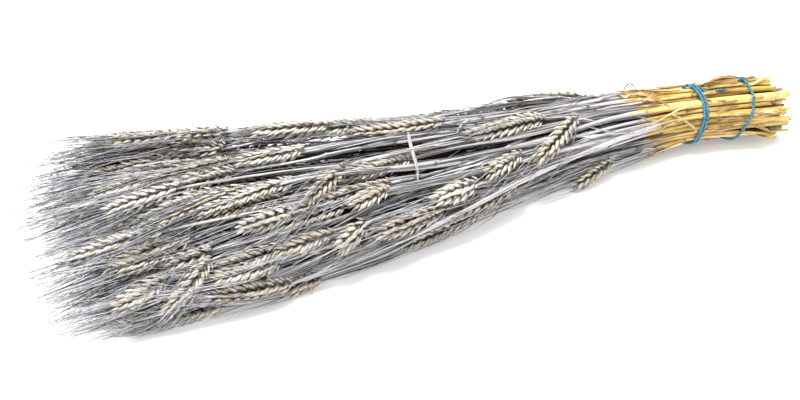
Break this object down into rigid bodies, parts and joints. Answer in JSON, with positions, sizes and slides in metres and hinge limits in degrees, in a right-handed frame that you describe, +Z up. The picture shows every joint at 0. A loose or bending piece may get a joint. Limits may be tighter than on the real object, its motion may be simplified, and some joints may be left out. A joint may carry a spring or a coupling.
{
  "type": "bundle of dried wheat",
  "caption": "Tied bundle of dried bearded wheat lying on its side, with toothed ears and long awns fanned out at one end and cut straw butts held by twine at the other.",
  "frame": {"origin": "the middle of the bundle's base, on the surface that it lies on", "axes": "+X along the bundle towards the cut butts, +Z up from the surface"},
  "size_m": [0.7004, 0.2262, 0.073],
  "materials": {
    "silvered_straw": "dried straw and ears sprayed silver over cream, with bare yellow butts, dry and matte",
    "blue_twine": "thin twisted twine, teal blue"
  },
  "bodies": {
    "root": {"stalk_01": "silvered_straw", "stalk_02": "silvered_straw", "stalk_03": "silvered_straw", "stalk_04": "silvered_straw", "stalk_05": "silvered_straw", "stalk_06": "silvered_straw", "stalk_07": "silvered_straw", "stalk_08": "silvered_straw", "stalk_09": "silvered_straw", "stalk_10": "silvered_straw", "stalk_11": "silvered_straw", "stalk_12": "silvered_straw", "stalk_13": "silvered_straw", "stalk_14": "silvered_straw", "stalk_15": "silvered_straw", "stalk_16": "silvered_straw", "stalk_17": "silvered_straw", "stalk_18": "silvered_straw", "stalk_19": "silvered_straw", "stalk_20": "silvered_straw", "stalk_21": "silvered_straw", "stalk_22": "silvered_straw", "stalk_23": "silvered_straw", "stalk_24": "silvered_straw", "stalk_25": "silvered_straw", "stalk_26": "silvered_straw", "stalk_27": "silvered_straw", "stalk_28": "silvered_straw", "stalk_29": "silvered_straw", "stalk_30": "silvered_straw", "stalk_31": "silvered_straw", "stalk_32": "silvered_straw", "stalk_33": "silvered_straw", "stalk_34": "silvered_straw", "stalk_35": "silvered_straw", "stalk_36": "silvered_straw", "stalk_37": "silvered_straw", "stalk_38": "silvered_straw", "stalk_39": "silvered_straw", "stalk_40": "silvered_straw", "stalk_41": "silvered_straw", "stalk_42": "silvered_straw", "stalk_43": "silvered_straw", "stalk_44": "silvered_straw", "stalk_45": "silvered_straw", "stalk_46": "silvered_straw", "stalk_47": "silvered_straw", "stalk_48": "silvered_straw", "stalk_49": "silvered_straw", "stalk_50": "silvered_straw", "tie_upper": "blue_twine", "tie_lower": "blue_twine"}
  },
  "joints": []
}
